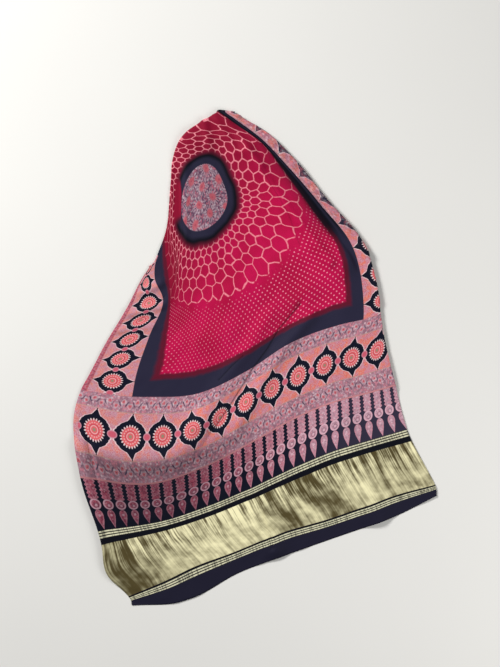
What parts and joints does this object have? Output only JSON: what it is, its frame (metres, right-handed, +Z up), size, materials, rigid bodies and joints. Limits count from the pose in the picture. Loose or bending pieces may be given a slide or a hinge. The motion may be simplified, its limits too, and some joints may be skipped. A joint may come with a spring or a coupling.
{
  "type": "shawl",
  "caption": "Block-printed and tie-dyed silk shawl with patterned borders and a woven gold end band, laid out flat with its far half folded under.",
  "frame": {"origin": "on the surface the shawl lies on, in the middle of its footprint", "axes": "+X across the shawl to the right, +Y from the near hem towards the shoulder fold, +Z up from the surface"},
  "size_m": [1.1586, 1.5794, 0.0403],
  "materials": {
    "silk": "soft silk sheen"
  },
  "bodies": {
    "root": {"shawl": "silk"}
  },
  "joints": []
}
